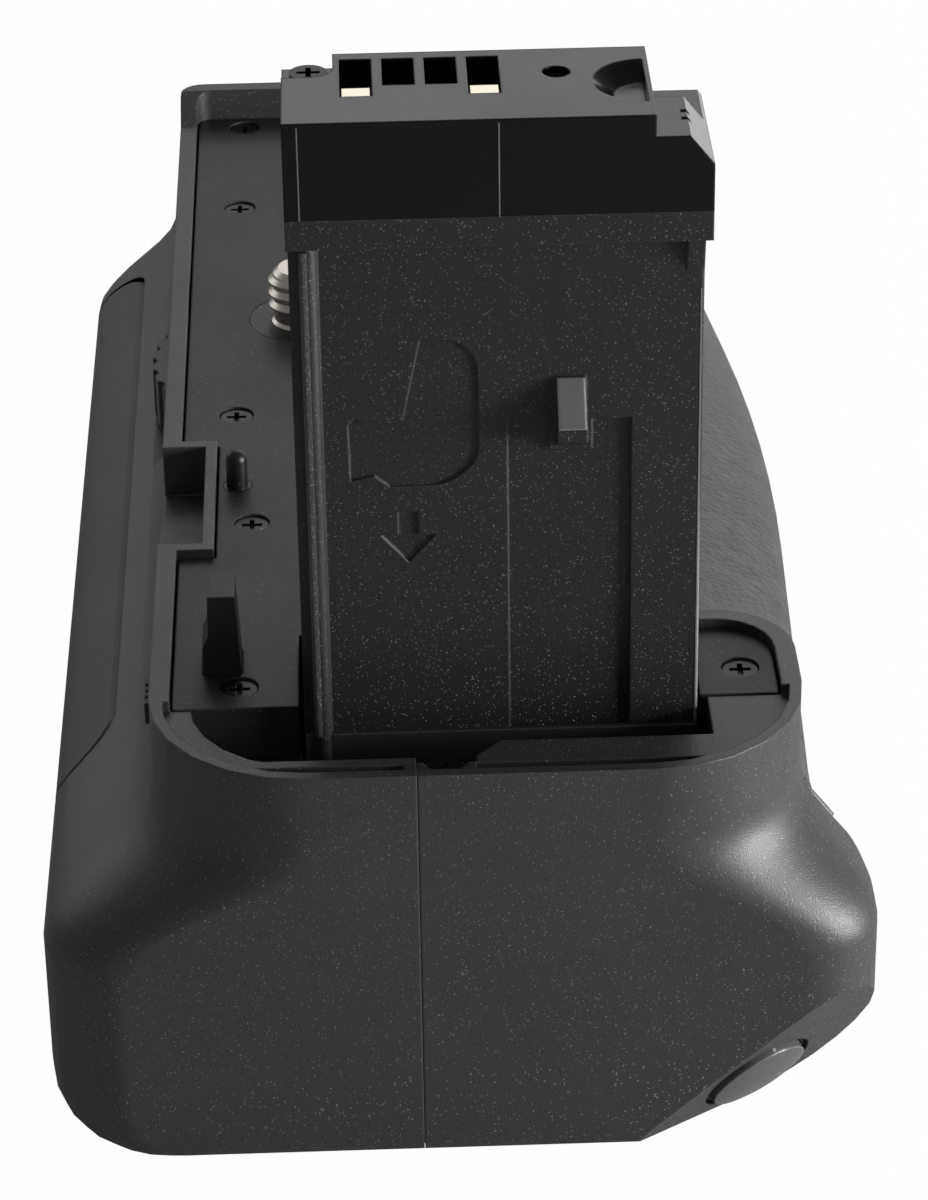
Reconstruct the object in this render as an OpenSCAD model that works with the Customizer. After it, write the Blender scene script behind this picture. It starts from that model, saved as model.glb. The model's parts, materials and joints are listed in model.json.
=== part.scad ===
// Vertical battery grip for a small reflex camera, in millimetres.
// +X runs to the shutter end, +Y to the lens side, +Z up to the camera.
// The origin is on the camera screw's axis, in the plane where the camera's base meets the deck.

/* [Camera footprint] */
// Length of the top rim along the camera
rim_len = 134.4; // [130:0.2:140]
// Distance from the screw axis to the rim's shutter end
screw_near = 84.4; // [82:0.2:87]
// Distance from the screw axis to the rim's rear edge
screw_rear = 12.65; // [12.2:0.05:13]
// Depth of the rim under the camera's body
rim_depth = 35; // [33:0.5:37]
// Depth of the rim at the hand grip's lobe
lobe_depth = 53.8; // [52.5:0.1:55]
// Length of the lobe along the camera
lobe_len = 25.1; // [24.9:0.1:27]
// Corner radius of the rim at the shutter end, rear side
neck_rear_r = 13; // [10:0.5:14]
// Corner radius of the rim at the shutter end, lens side
neck_front_r = 13; // [11:0.5:15]
// Corner radius on the lobe's inner side
lobe_r = 6.5; // [5:0.5:8]
// Corner radius of the rim's far end
far_r = 2.4; // [2:0.1:4]
// Height of the rim over the deck
rim_h = 0.8; // [0.4:0.1:1.4]
// Height of the raised lip at the rim's far end
lip_h = 3.3; // [2.6:0.1:3.8]
// Thickness of the rim
rim_wall = 1.7; // [1.4:0.1:2]
// Width of the ledge and rim together, where the deck plate rests
ledge = 3.4; // [3:0.1:4]

/* [Lower body] */
// Height of the body below the deck
body_h = 37; // [36.6:0.1:40]
// Wall thickness of the shells
wall = 2; // [1.6:0.1:2.2]
// How far the body stands out behind the rim
rear_flare = 9.45; // [9.2:0.05:11]
// How far the body stands out in front of the lobe, at the shutter end
front_flare = 6.15; // [5.6:0.05:6.6]
// How far the front draws back behind the shutter end, where the fingers lie
finger_hollow = 3.7; // [3:0.1:4.2]
// How far the palm's swell stands out in front of the rim
palm_swell = 23.85; // [23.4:0.05:24.4]
// How far the front draws in from the swell to the far end
front_taper = 5; // [3.6:0.1:5.2]
// How far the body's far end stands in from the rim
far_inset = 5.6; // [5:0.1:6]
// Depth below the deck where the flare starts
flare_top = 6.5; // [6.2:0.1:7]
// Height of the flare
flare_h = 11.5; // [11:0.5:12.5]
// Depth below the deck where the far end draws in
draw_top = 5.5; // [5:0.1:6]
// Height over which the far end draws in
draw_h = 5; // [4.6:0.1:6]
// Height of the rounded lower edge
base_round = 6.4; // [6:0.1:8]
// How far the lower edge rounds in at the rear
base_rear = 4.2; // [3.6:0.1:6]
// How far the lower edge rounds in at the front
base_front = 5.6; // [4:0.1:6]
// How far the lower edge rounds in below the shutter end's front
hump_in = 12.5; // [10:0.5:13]
// Height of that rounding
hump_round = 12; // [11:0.5:14]
// How far the lower edge rounds in at the two ends
base_end = 1.1; // [0.8:0.1:1.4]
// Corner radius of the body at the shutter end, rear side
near_rear_r = 7; // [6:0.5:10]
// Corner radius of the body at the shutter end, lens side
near_front_r = 6.5; // [5.5:0.1:6.6]
// Distance from the rim's rear edge to the parting plane of the shells
part_depth = 21.75; // [21:0.05:23]

/* [Grip skins] */
// Thickness of the rear panel and the front rubber
skin_t = 1; // [0.8:0.1:1.2]
// Width of the groove round the skins
skin_gap = 0.45; // [0.3:0.05:0.7]
// Near end of the rear panel, measured from the screw axis
panel_near = 57; // [54:0.5:58]
// Distance from the body's far end to the rear panel
panel_margin = 7; // [5:0.5:12]
// Top edge of the rear panel below the deck
panel_top = 12.2; // [11:0.1:13]
// Lower edge of the skins below the deck
skin_low = 31; // [29:0.5:32]
// Distance from the body's far end to the front rubber
rubber_margin = 11; // [9:0.5:16]
// Depth of the front rubber's top edge below the deck
rubber_top = 6.2; // [5.5:0.1:8]
// Corner radius of the skins
skin_r = 4; // [2:0.5:6]

/* [Deck] */
// Thickness of the deck plate
deck_t = 2; // [1.8:0.1:2.2]
// Gap round the deck plate
deck_gap = 0.2; // [0.1:0.05:0.3]
// Distance from the deck's near edge to the tower's near face
deck_back = 2.3; // [2:0.1:3]
// Radius of the screw heads
screw_head_r = 1.5; // [1.3:0.05:1.8]
// Radius of the screw shanks
screw_r = 0.75; // [0.6:0.05:0.9]
// Length of the deck screws
screw_len = 6; // [5:0.5:7]
// Length of the pocket block in the rear rim
pocket_len = 20.3; // [18:0.1:21]
// Near end of the pocket block, from the screw axis
pocket_near = 46.6; // [45.5:0.1:48]
// Depth of the pocket block from the rim's rear edge
pocket_depth = 4.95; // [4.5:0.05:5.2]
// Radius of the locating pin
pin_r = 0.95; // [0.8:0.05:1.1]
// Height of the locating pin over the deck
pin_h = 3.6; // [3:0.1:4.2]
// Place of the locating pin along the camera
pin_x = 33.6; // [31:0.1:36]
// Height of the door switch post
post_h = 7.4; // [6.5:0.1:8.5]
// Width of the post across the camera
post_w = 3.2; // [2.8:0.1:3.4]
// Thickness of the post along the camera
post_t = 4; // [3.4:0.1:4.4]

/* [Camera screw] */
// Outer radius of the camera screw's thread
stud_r = 3.1; // [2.9:0.05:3.2]
// Height of the camera screw over the deck
stud_h = 5.5; // [4.6:0.1:6]
// Radius of the thumbwheel
wheel_r = 14.6; // [14.2:0.1:15]
// Thickness of the thumbwheel
wheel_t = 5; // [4:0.1:5.2]
// Number of knurls on the thumbwheel
wheel_knurls = 36; // [24:1:40]
// Depth of the knurls
knurl_depth = 0.45; // [0.3:0.05:0.6]
// Running clearance of turning shafts
run_gap = 0.05; // [0.03:0.01:0.08]

/* [Tower] */
// Width of the tower's head across the camera
tower_w = 33; // [32:0.1:33.6]
// Thickness of the head along the camera
tower_t = 13.4; // [13:0.1:13.6]
// Height of the tower over the deck
tower_h = 52.9; // [50:0.1:56]
// Height of the glossy head
cap_h = 8.1; // [7.6:0.1:9]
// Distance from the rim's near end to the head's near face
tower_setback = 10.2; // [9.8:0.1:10.4]
// Distance from the rim's rear edge to the tower's rear face
tower_offset = 12.65; // [12.2:0.05:13]
// Wall thickness of the tower
tower_wall = 1.6; // [1.2:0.1:2]
// How far the tower's body stands in from the head's near face
tower_step = 0.9; // [0.6:0.1:1.2]
// Width of the contact windows
contact_w = 2.5; // [2:0.1:2.7]
// Depth of the marks sunk in the tower's near face
mark_depth = 0.25; // [0.15:0.05:0.4]
// Spacing of the contact windows
contact_pitch = 3.3; // [3.1:0.05:3.5]

/* [Battery magazine] */
// Width of one battery, along the camera
cell_w = 33; // [32:0.1:33.2]
// Length of one battery, across the camera
cell_l = 49.4; // [48:0.1:49.6]
// Thickness of one battery
cell_t = 14; // [13:0.1:14.2]
// Play round a battery
cell_play = 0.4; // [0.2:0.05:0.5]
// Wall of the tray
tray_wall = 1.4; // [1.2:0.1:1.6]
// Floor of the tray
tray_floor = 1.2; // [1:0.1:1.4]
// Play of the tray in its mouth
tray_play = 0.4; // [0.3:0.05:0.5]
// Height of the tray's floor over the shell's floor
tray_rise = 2; // [1.8:0.05:2.2]
// Distance from the rim's rear edge to the tray, behind it
tray_behind = 4.6; // [4.2:0.05:4.8]
// Thickness of the cover plate
cover_t = 2.2; // [2:0.1:3]
// How far the cover plate overlaps the mouth
cover_lap = 1.4; // [1:0.1:1.6]
// Depth of the cover's plug in the mouth
plug_t = 4.4; // [4.2:0.1:5]
// Radius of the latch key
key_r = 6; // [5:0.1:6.4]
// Length of the latch tongue from its axis
tongue_len = 9.6; // [9:0.1:9.8]

/* [Controls] */
// Radius of the shutter button
shutter_r = 4.4; // [3.8:0.1:4.5]
// Travel of the shutter button
shutter_travel = 0.8; // [0.5:0.1:1]
// Tilt of the shutter chamfer's normal from straight up
shutter_tilt = 122; // [120:0.5:125]
// Turn of the shutter chamfer's normal from the length to the lens side
shutter_turn = 33; // [30:0.5:35]
// Distance of the shutter button from the rim's near end
shutter_in = 4.3; // [4:0.1:4.8]
// Distance of the shutter button behind the lobe's front
shutter_back = 3.8; // [3.4:0.05:4.2]
// Height of the shutter button over the base
shutter_up = 4.5; // [4.3:0.1:5]
// Radius of the main dial
dial_r = 5; // [4.6:0.1:5.2]
// Width of the main dial
dial_w = 5.6; // [5:0.1:6]
// How far the main dial's rim lies below the slope, in its scoop
dial_sink = 0.8; // [0.6:0.1:1]
// Distance of the main dial from the rim's near end
dial_in = 14.9; // [14.5:0.1:15.3]
// Depth of the main dial's middle below the deck
dial_depth = 11.3; // [11:0.1:11.8]
// Tilt of the main dial's axle from the level
dial_tilt = 52; // [50:1:54]
// Length of the power knob
knob_len = 4; // [3.4:0.1:4.2]
// Travel of the power knob
knob_travel = 3; // [2:0.1:3.2]
// Far end of the power slot, from the screw axis
slot_far = 58.3; // [57:0.1:58.6]
// Radius of the thumb buttons
thumb_r = 2.5; // [2:0.1:2.7]
// Travel of the thumb buttons
thumb_travel = 0.5; // [0.3:0.1:0.7]
// Gap between pieces that move past each other
move_gap = 0.3; // [0.2:0.05:0.35]

/* [Base] */
// Radius of the tripod thread's core
tripod_r = 2.55; // [2.5:0.05:3.2]
// Length of the tripod thread
tripod_len = 3.5; // [3.2:0.1:3.6]

/* [Hidden] */
$fn = 48;
arc_steps = 6;
flare_steps = 9;
base_steps = 7;
big = 300;
cut = 1;
seat_gap = 0.05;

near_x = screw_near;
far_x = near_x - rim_len;
rear_y = -screw_rear;
front_y = rear_y + rim_depth;
lobe_y = rear_y + lobe_depth;
lobe_x = near_x - lobe_len;
low_rear = rear_y - rear_flare;
low_far = far_x + far_inset;
low_far_r = 5.6;
part_y = rear_y + part_depth;
hump_y = lobe_y + front_flare;
hump_x = lobe_x + 14.2;
hump_r = 2.6;
hollow_x = lobe_x + 1.7;
hollow_r = 5.3;
palm_x = lerp(low_far, lobe_x, 0.38);
palm_r = 21.4;
palm_y = front_y + palm_swell;
lip_run = 4;

tower_x1 = near_x - tower_setback;
tower_x0 = tower_x1 - tower_t;
tower_y0 = rear_y + tower_offset;
tower_y1 = tower_y0 + tower_w;
cap_z = tower_h - cap_h;
trunk_x0 = tower_x0 + 0.5;
trunk_x1 = tower_x1 - tower_step;
trunk_y0 = tower_y0 + 0.15;
trunk_y1 = tower_y1 - 0.6;

deck_near = tower_x1 - deck_back;
skirt_t = 1;
skirt_h = 5;
trough_top = -5.2;
lip_t = 1;
trench = 3.2;
trough_t = 1.2;
flange_t = 2;
flange_x = tower_x1 + 3.7;

tray_z0 = -body_h + wall + tray_rise;
tray_z1 = tray_z0 + tray_floor + cell_t + cell_play;
chassis_top = -14;
chassis_t = 1.6;
chassis_low = chassis_top - chassis_t;
chassis_rear = low_rear + 8.6;
chassis_front = front_y + 5.6;
chassis_far = low_far + 7;
chassis_near = near_x - 6.4;
chassis_near_front = 29;
boss_r = 2.1;

bush_r = 5;
bush_t = deck_t + 0.6;
pivot_r = 2;
collar_r = 5.5;
collar_t = 1;
wheel_top = -bush_t - 2 * move_gap - collar_t;
wheel_low = wheel_top - wheel_t;
stud_neck_r = stud_r - 0.2;
window_half = sqrt(wheel_r ^ 2 - (screw_rear - ledge) ^ 2) + move_gap;

far_screw_at = [far_x + 4.2, rear_y + 6.7];
deck_screw_at = [
    [-wheel_r - 11.1, rear_y + 6.4],
    [19.9, rear_y + 6.6],
    [pocket_near - 6, rear_y + 8.2],
    [deck_near - 3.3, rear_y + 7.4],
];
lobe_screw_at = [deck_near - 4.2, lobe_y - 4.75];
pin_foot_r = pin_r + 0.3;
pin_y = rear_y + pocket_depth + pin_r + 0.95;
post_near = deck_near - 5.4;
post_y = rear_y + 4.4;
end_screw_at = [near_x - 3.9, part_y + 2.4];
end_seat = 3.4;

tray_y0 = rear_y - tray_behind;
bay_l = cell_l + 2 * cell_play + 0.4;
bay_w = cell_w + cell_play;
tray_y1 = tray_y0 + bay_l + 2 * tray_wall;
cover_x1 = low_far - 0.9;
cover_x0 = cover_x1 - cover_t;
plug_x1 = cover_x1 + plug_t;
tongue_room = 3;
bay_x0 = plug_x1 + tongue_room + tray_wall;
bay_mid = 1.2;
tray_x1 = bay_x0 + 2 * bay_w + bay_mid + tray_wall;
stop_x0 = tray_x1 + 0.7;
stop_t = 1.6;
key_y = (tray_y0 + tray_y1) / 2;
key_z = (tray_z0 + tray_z1) / 2;
spindle_r = 1.8;
key_t = 1.2;
key_recess = 2.8;
tongue_t = 1.3;
contact_t = 0.3;
tab_w = 4;
tab_h = 6;
blade_w = 2.4;
blade_h = 4.8;

board_t = 1.2;
board_x0 = stop_x0 + stop_t + 2;
board_top = chassis_low - 1.8;
board_front = chassis_near_front - 1;
board_rear = chassis_rear + 5;

shutter_at = [near_x - shutter_in, lobe_y - shutter_back, -body_h + shutter_up];
cup_wall = 0.6;
cup_len = 7;
cup_seat = 3;
stem_r = 1.5;

slope_y = lerp(lobe_y, hump_y, smooth((dial_depth - flare_top) / flare_h));
dial_nrm = [0, sin(dial_tilt), cos(dial_tilt)];
dial_at = [near_x - dial_in, slope_y, -dial_depth] - (dial_r + dial_sink) * dial_nrm;
axle_r = 1;
ear_t = 1.2;
ear_w = 4;
ear_up = 1.6;
dial_side = 0.4;
scoop = 1.4;
scoop_w = 8.4;
scoop_near = 3;
bracket_back = dial_r + 1.2;
bracket_half = dial_w / 2 + dial_side + ear_t;

knob_h = 2;
slot_len = knob_len + knob_travel + 2 * move_gap;
slot_z = -6;
knob_out = 0.9;
knob_x0 = slot_far + move_gap;
switch_x0 = slot_far - 1.2;
switch_y0 = rear_y + ledge + 0.1;

thumb_xs = [panel_near + 6, panel_near + 14];
thumb_z = -23;
thumb_flange = 0.8;
thumb_side = 5.2;
thumb_sink = 0.1;
thumb_deep = 4;
dome_t = 1.2;
dome_r = 1.8;
thumb_plate_y = low_rear + wall + thumb_deep;

floor_far = 7;
floor_near = 4;
floor_side = 3;
floor_r = 4;
floor_lip = 1.2;
floor_lap = 1;
tripod_flange_r = 7.5;
tripod_flange_t = 1.6;

function lerp(a, b, t) = a + (b - a) * t;
function smooth(t) = let (c = max(0, min(1, t))) c * c * (3 - 2 * c);
function unit(v) = v / norm(v);
function xy(p) = [p.x, p.y];

// One rounded corner as a conic arc that leaves each side at the setback
function corner_arc(p, v, n, setback) =
    let (a = unit(p - v), b = unit(n - v), w = norm(a - b) / 2)
    [for (k = [0:arc_steps])
        let (t = k / arc_steps, d = (1 - t) ^ 2 + 2 * t * (1 - t) * w + t ^ 2)
        ((1 - t) ^ 2 * (v + a * setback) + 2 * t * (1 - t) * w * v + t ^ 2 * (v + b * setback)) / d];

// A closed outline from corners given as [x, y, setback]
function outline(c) =
    let (n = len(c))
    [for (i = [0:n - 1]) each corner_arc(xy(c[(i + n - 1) % n]), xy(c[i]), xy(c[(i + 1) % n]), c[i][2])];

// Corners of the camera's footprint, drawn in by an inset
function neck_corners(i) = [
    [near_x - i, rear_y + i, neck_rear_r - i],
    [near_x - i, lobe_y - i, neck_front_r - i],
    [lobe_x + i, lobe_y - i, lobe_r - i],
    [lobe_x + i, front_y - i, lobe_r + i],
    [palm_x, front_y - i, palm_r],
    [far_x + i, front_y - i, far_r - i / 2],
    [far_x + i, rear_y + i, far_r - i / 2],
];

// Corners of the body, drawn in by an inset and by the rounding of its lower edge
function body_corners(i, rear_in = 0, front_in = 0, grip_in = 0, end_in = 0) = [
    [near_x - i - end_in, low_rear + i + rear_in, near_rear_r - i],
    [near_x - i - end_in, hump_y - i - grip_in, near_front_r - i],
    [hump_x, hump_y - i - grip_in, hump_r],
    [hollow_x, hump_y - finger_hollow - i - front_in, hollow_r],
    [palm_x, palm_y - i - front_in, palm_r],
    [low_far + i + end_in, palm_y - front_taper - i - front_in, low_far_r - i / 2],
    [low_far + i + end_in, low_rear + i + rear_in, low_far_r - i / 2],
];

// Height levels of the body's sections
function levels(top, drop) =
    let (start = -body_h + drop + hump_round, fall = flare_top + flare_h + drop - draw_top)
    concat([top],
        [for (k = [0:flare_steps]) -draw_top - fall * k / flare_steps],
        [for (k = [0:base_steps]) start - hump_round * sin(90 * k / base_steps)]);

// Section of the body at a height: footprint, flare, full body, then the rounded lower edge.
// The far end draws in on its own, higher up than the flare.
function section(z, neck, full, base, drop) =
    let (flare = smooth((-flare_top - drop - z) / flare_h),
        draw = smooth((drop / 2 - draw_top - z) / draw_h),
        above = z + body_h - drop)
    [for (i = [0:len(neck) - 1])
        let (p = lerp(neck[i], full[i], flare),
            x = neck[i].x < 0 ? lerp(neck[i].x, full[i].x, draw) : p.x,
            corner = floor(i / (arc_steps + 1)),
            height = corner == 1 || corner == 2 ? hump_round : base_round,
            t = max(0, min(1, 1 - above / height)),
            q = lerp([x, p.y], base[i], 1 - sqrt(1 - t * t)))
        [q.x, q.y, z]];

// The moulded outer form, or the same form drawn in by a wall for its inside
module body_loft(neck_in, body_in, drop, top) {
    neck = outline(neck_corners(neck_in));
    full = outline(body_corners(body_in));
    base = outline(body_corners(body_in, base_rear, base_front, hump_in, base_end));
    zs = levels(top, drop);
    n = len(neck);
    m = len(zs);
    polyhedron(
        points = [for (z = zs) each section(z, neck, full, base, drop)],
        faces = concat(
            [[for (i = [n - 1:-1:0]) i]],
            [for (j = [0:m - 2], i = [0:n - 1])
                each [[j * n + i, j * n + (i + 1) % n, (j + 1) * n + (i + 1) % n],
                    [j * n + i, (j + 1) * n + (i + 1) % n, (j + 1) * n + i]]],
            [[for (i = [0:n - 1]) (m - 1) * n + i]]));
}

module block(a, b) {
    translate(a) cube(b - a);
}

module rrect(a, b, r) {
    translate([a.x + r, a.y]) square([b.x - a.x - 2 * r, b.y - a.y]);
    translate([a.x, a.y + r]) square([b.x - a.x, b.y - a.y - 2 * r]);
    for (x = [a.x + r, b.x - r], y = [a.y + r, b.y - r]) translate([x, y]) circle(r);
}

// Room that the tower's body passes down through
module tower_room() {
    ridge_room = 1.2;
    block([trunk_x0 - move_gap, trunk_y0 - move_gap, chassis_top - move_gap],
        [trunk_x1 + ridge_room, trunk_y1 + move_gap, rim_h + cut]);
}

// Draws a Y-Z profile out along +X from x0 to x1
module along_x(x0, x1) {
    translate([x0, 0, 0]) rotate([90, 0, 90]) linear_extrude(x1 - x0) children();
}

// Draws an X-Z profile out along Y from y0 to y1
module along_y(y0, y1) {
    translate([0, y1, 0]) rotate([90, 0, 0]) linear_extrude(y1 - y0) children();
}

// Stands +Z on the outward normal of the shutter chamfer, at the button's middle
module at_shutter() {
    translate(shutter_at) rotate([0, shutter_tilt, shutter_turn]) children();
}

// Stands +Z on the main dial's axle and +Y on the slope's normal, with +X kept along the body
module at_dial() {
    translate(dial_at) rotate([90 - dial_tilt, 0, 0]) children();
}

module shutter_chamfer(depth) {
    at_shutter() translate([-big / 2, -big / 2, -depth]) cube(big);
}

module outer_form() {
    difference() {
        body_loft(0, 0, 0, lip_h + cut);
        shutter_chamfer(0);
        over_rim();
    }
}

// Room over the rim, which rises to a lip at its far end
module over_rim() {
    along_y(-big, big)
        polygon([[near_x + cut, rim_h], [near_x + cut, big], [far_x - cut, big], [far_x - cut, lip_h],
            [far_x + rim_wall, lip_h], [far_x + rim_wall + lip_run, rim_h]]);
}

module cavity() {
    difference() {
        body_loft(ledge, wall, wall, rim_h + cut);
        shutter_chamfer(wall);
        block([deck_near - skirt_t, rear_y, trough_top - trough_t], [near_x, lobe_y, trough_top]);
        front_flange();
        rear_flange();
        end_boss();
        lobe_boss();
        far_boss();
        pocket_block();
        keeper();
    }
}

// Rib over the magazine's mouth that the turned tongue catches behind
module keeper() {
    half = 5;
    block([low_far, key_y - half, tray_z1 + tray_play], [plug_x1, key_y + half, tray_z1 + 3]);
}

// Flat flange beside the tower at the lens side of the end wall
module front_flange() {
    translate([0, 0, -flange_t]) linear_extrude(flange_t - 0.1)
        polygon([[deck_near + deck_gap, tower_y1 + move_gap], [flange_x, tower_y1 + move_gap],
            [flange_x, tower_y0 + 16], [flange_x + 2.2, tower_y0 + 14], [near_x, tower_y0 + 14],
            [near_x, lobe_y], [deck_near + deck_gap, lobe_y]]);
}

module end_boss() {
    translate([end_screw_at.x, end_screw_at.y, trough_top - trough_t])
        cylinder(r = boss_r + 0.4, h = trough_t + end_seat);
}

module lobe_boss() {
    translate([lobe_screw_at.x, lobe_screw_at.y, -deck_t - screw_len])
        linear_extrude(screw_len) {
            circle(boss_r);
            translate([-boss_r, 0]) square([2 * boss_r, lobe_y - lobe_screw_at.y - rim_wall]);
        }
}

module far_boss() {
    translate([far_screw_at.x, far_screw_at.y, -deck_t - screw_len])
        linear_extrude(screw_len) {
            circle(boss_r);
            translate([far_x + rim_wall - far_screw_at.x, -boss_r])
                square([far_screw_at.x - far_x - rim_wall, 2 * boss_r]);
        }
}

module pocket_block() {
    block([pocket_near - pocket_len, rear_y, -9], [pocket_near, rear_y + pocket_depth, rim_h]);
}

// Pocket open at the top and rear, with a floor that slopes up to the shutter end
module pocket_hollow() {
    side = 1.2;
    along_y(rear_y - cut, rear_y + pocket_depth - 1)
        polygon([[pocket_near - pocket_len + side, rim_h + cut], [pocket_near - pocket_len + side, -4.2],
            [pocket_near - side, -0.6], [pocket_near - side, rim_h + cut]]);
}

module deck_recess() {
    difference() {
        translate([0, 0, -deck_t]) linear_extrude(deck_t + lip_h + cut)
            intersection() {
                polygon(outline(neck_corners(rim_wall)));
                translate([far_x, rear_y]) square([deck_near + deck_gap - far_x, lobe_depth]);
            }
        pocket_block();
    }
}

// Slots between the rim and the inner flange of the end wall
module rim_slots() {
    floor_z = -3.2;
    translate([0, 0, floor_z]) linear_extrude(rim_h - floor_z + cut)
        intersection() {
            polygon(outline(neck_corners(lip_t)));
            for (y = [[rear_y, part_y - 1], [part_y + 4.8, tower_y1]])
                translate([near_x - trench, y[0]]) square([trench, y[1] - y[0]]);
        }
}

// Upright wall behind the rear slot of the end wall
module rear_flange() {
    wall_t = 1;
    block([near_x - trench - wall_t, rear_y + ledge, trough_top - cut],
        [near_x - trench + cut, part_y, -0.1]);
}

// Lowers the inner flange at the end wall to the camera's base plane
module flange_level() {
    translate([0, 0, -0.1]) linear_extrude(rim_h + cut + 0.1)
        intersection() {
            polygon(outline(neck_corners(lip_t)));
            translate([deck_near, rear_y]) square([near_x, lobe_depth]);
        }
}

module mouth() {
    block([far_x - cut, tray_y0 - tray_play, tray_z0 - tray_play],
        [low_far + 8, tray_y1 + tray_play, tray_z1 + tray_play]);
}

module rear_panel_area(grow) {
    along_y(low_rear - big / 4, rear_y - 0.6)
        rrect([low_far + panel_margin - grow, -skin_low - grow],
            [panel_near + grow, -panel_top + grow], skin_r + grow);
}

module front_rubber_area(grow) {
    rubber_near = lobe_x - 2;
    along_y(front_y + 1.5, big / 4)
        rrect([low_far + rubber_margin - grow, -skin_low - grow],
            [rubber_near + grow, -rubber_top + grow], skin_r + grow);
}

// Hollow that a bonded skin lies in, as deep as the skin
module skin_recess() {
    difference() {
        children();
        body_loft(skin_t + seat_gap, skin_t + seat_gap, skin_t + seat_gap, rim_h + cut);
    }
}

// Outline of the floor plate, grown by a margin
module floor_outline(grow) {
    rrect([low_far + floor_far - grow, tray_y0 + floor_side - grow],
        [lobe_x - floor_near + grow, tray_y1 - floor_side + grow], floor_r + grow);
}

module floor_hole() {
    translate([0, 0, -body_h - cut]) linear_extrude(wall + 2 * cut) floor_outline(seat_gap);
}

module thumb_holes() {
    for (x = thumb_xs)
        translate([x, low_rear - cut, thumb_z]) rotate([-90, 0, 0])
            cylinder(r = thumb_r + move_gap, h = wall + 2 * cut);
}

// Posts inside the rear shell that carry the thumb switches
module thumb_posts() {
    for (x = [thumb_xs[0] - thumb_side, thumb_xs[1] + thumb_side])
        translate([x, low_rear + wall / 2, thumb_z]) rotate([-90, 0, 0])
            cylinder(r = 1.4, h = thumb_plate_y - low_rear - wall / 2);
}

module rear_shell() {
    color("#2f2f31") {
        difference() {
            intersection() {
                outer_form();
                block([-big, -big, -big], [big, part_y, big]);
            }
            cavity();
            deck_recess();
            flange_level();
            rim_slots();
            pocket_hollow();
            mouth();
            skin_recess() rear_panel_area(skin_gap);
            tower_room();
            block([-window_half, low_rear, wheel_low - 2 * move_gap],
                [window_half, rear_y + ledge + cut, wheel_top + 2 * move_gap]);
            block([slot_far, low_rear, slot_z - knob_h / 2 - move_gap],
                [slot_far + slot_len, rear_y + ledge + cut, slot_z + knob_h / 2 + move_gap]);
            thumb_holes();
            floor_hole();
            translate([far_screw_at.x, far_screw_at.y, -deck_t - screw_len + cut])
                cylinder(r = screw_r + seat_gap, h = screw_len + cut);
        }
        thumb_posts();
    }
}

module front_shell() {
    color("#333335")
        difference() {
            intersection() {
                outer_form();
                block([-big, part_y + seat_gap, -big], [big, big, big]);
            }
            cavity();
            deck_recess();
            flange_level();
            rim_slots();
            mouth();
            skin_recess() front_rubber_area(skin_gap);
            tower_room();
            bracket_room();
            at_dial() {
                translate([0, 0, -dial_w / 2 - dial_side])
                    cylinder(r = dial_r + dial_side, h = dial_w + 2 * dial_side);
                translate([-2 * dial_r, dial_r + dial_sink - scoop, -scoop_w / 2])
                    cube([2 * dial_r + scoop_near, dial_r, scoop_w]);
            }
            at_shutter() translate([0, 0, -wall - cup_seat])
                cylinder(r = shutter_r + cup_wall + seat_gap, h = wall + cup_seat + cut);
            translate([end_screw_at.x, end_screw_at.y, trough_top - trough_t - cut])
                cylinder(r = screw_r + seat_gap, h = trough_t + end_seat + 2 * cut);
            translate([end_screw_at.x, end_screw_at.y, trough_top + end_seat])
                cylinder(r = screw_head_r + 0.4, h = 10);
            translate([lobe_screw_at.x, lobe_screw_at.y, -deck_t - screw_len - cut])
                cylinder(r = screw_r + seat_gap, h = screw_len + 2 * cut);
            floor_hole();
        }
}

module rear_grip_panel() {
    color("#2b2b2d")
        difference() {
            intersection() {
                outer_form();
                rear_panel_area(0);
            }
            body_loft(skin_t, skin_t, skin_t, rim_h + cut);
        }
}

module front_grip_rubber() {
    color("#4a4a4b")
        difference() {
            intersection() {
                outer_form();
                front_rubber_area(0);
            }
            body_loft(skin_t, skin_t, skin_t, rim_h + cut);
        }
}

module screw_hole(p) {
    translate([p.x, p.y, -deck_t - cut]) cylinder(r = screw_r + 0.15, h = deck_t + 2 * cut);
    translate([p.x, p.y, -deck_t / 2]) cylinder(r = screw_head_r + 0.1, h = deck_t);
}

// The deck's outline, cut to a part of its depth
module deck_sheet(y0, y1) {
    translate([0, 0, -deck_t]) linear_extrude(deck_t)
        intersection() {
            polygon(outline(neck_corners(rim_wall + deck_gap)));
            translate([far_x, y0]) square([deck_near - far_x, y1 - y0]);
        }
}

module corner_plate() {
    color("#3d3d3e")
        difference() {
            deck_sheet(trunk_y1 + move_gap, lobe_y);
            screw_hole(lobe_screw_at);
        }
}

module deck_plate() {
    color("#3d3d3e")
        difference() {
            union() {
                deck_sheet(rear_y, front_y + 2);
                block([deck_near - skirt_t, rear_y + ledge + 0.4, trough_top + 0.2],
                    [deck_near, trunk_y0 - move_gap, -deck_t / 2]);
            }
            block([tower_x0 - move_gap, tower_y0 - move_gap, -big], [big, big, big]);
            block([pocket_near - pocket_len - deck_gap, rear_y - cut, -big],
                [pocket_near + deck_gap, rear_y + pocket_depth + deck_gap, big]);
            translate([0, 0, -deck_t - cut]) cylinder(r = bush_r + seat_gap, h = deck_t + 2 * cut);
            translate([pin_x, pin_y, -deck_t - cut])
                cylinder(r = pin_foot_r + seat_gap, h = deck_t + 2 * cut);
            block([post_near - post_t - seat_gap, post_y - seat_gap, -deck_t - cut],
                [post_near + seat_gap, post_y + post_w + seat_gap, cut]);
            for (p = concat(deck_screw_at, [far_screw_at])) screw_hole(p);
        }
}

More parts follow.
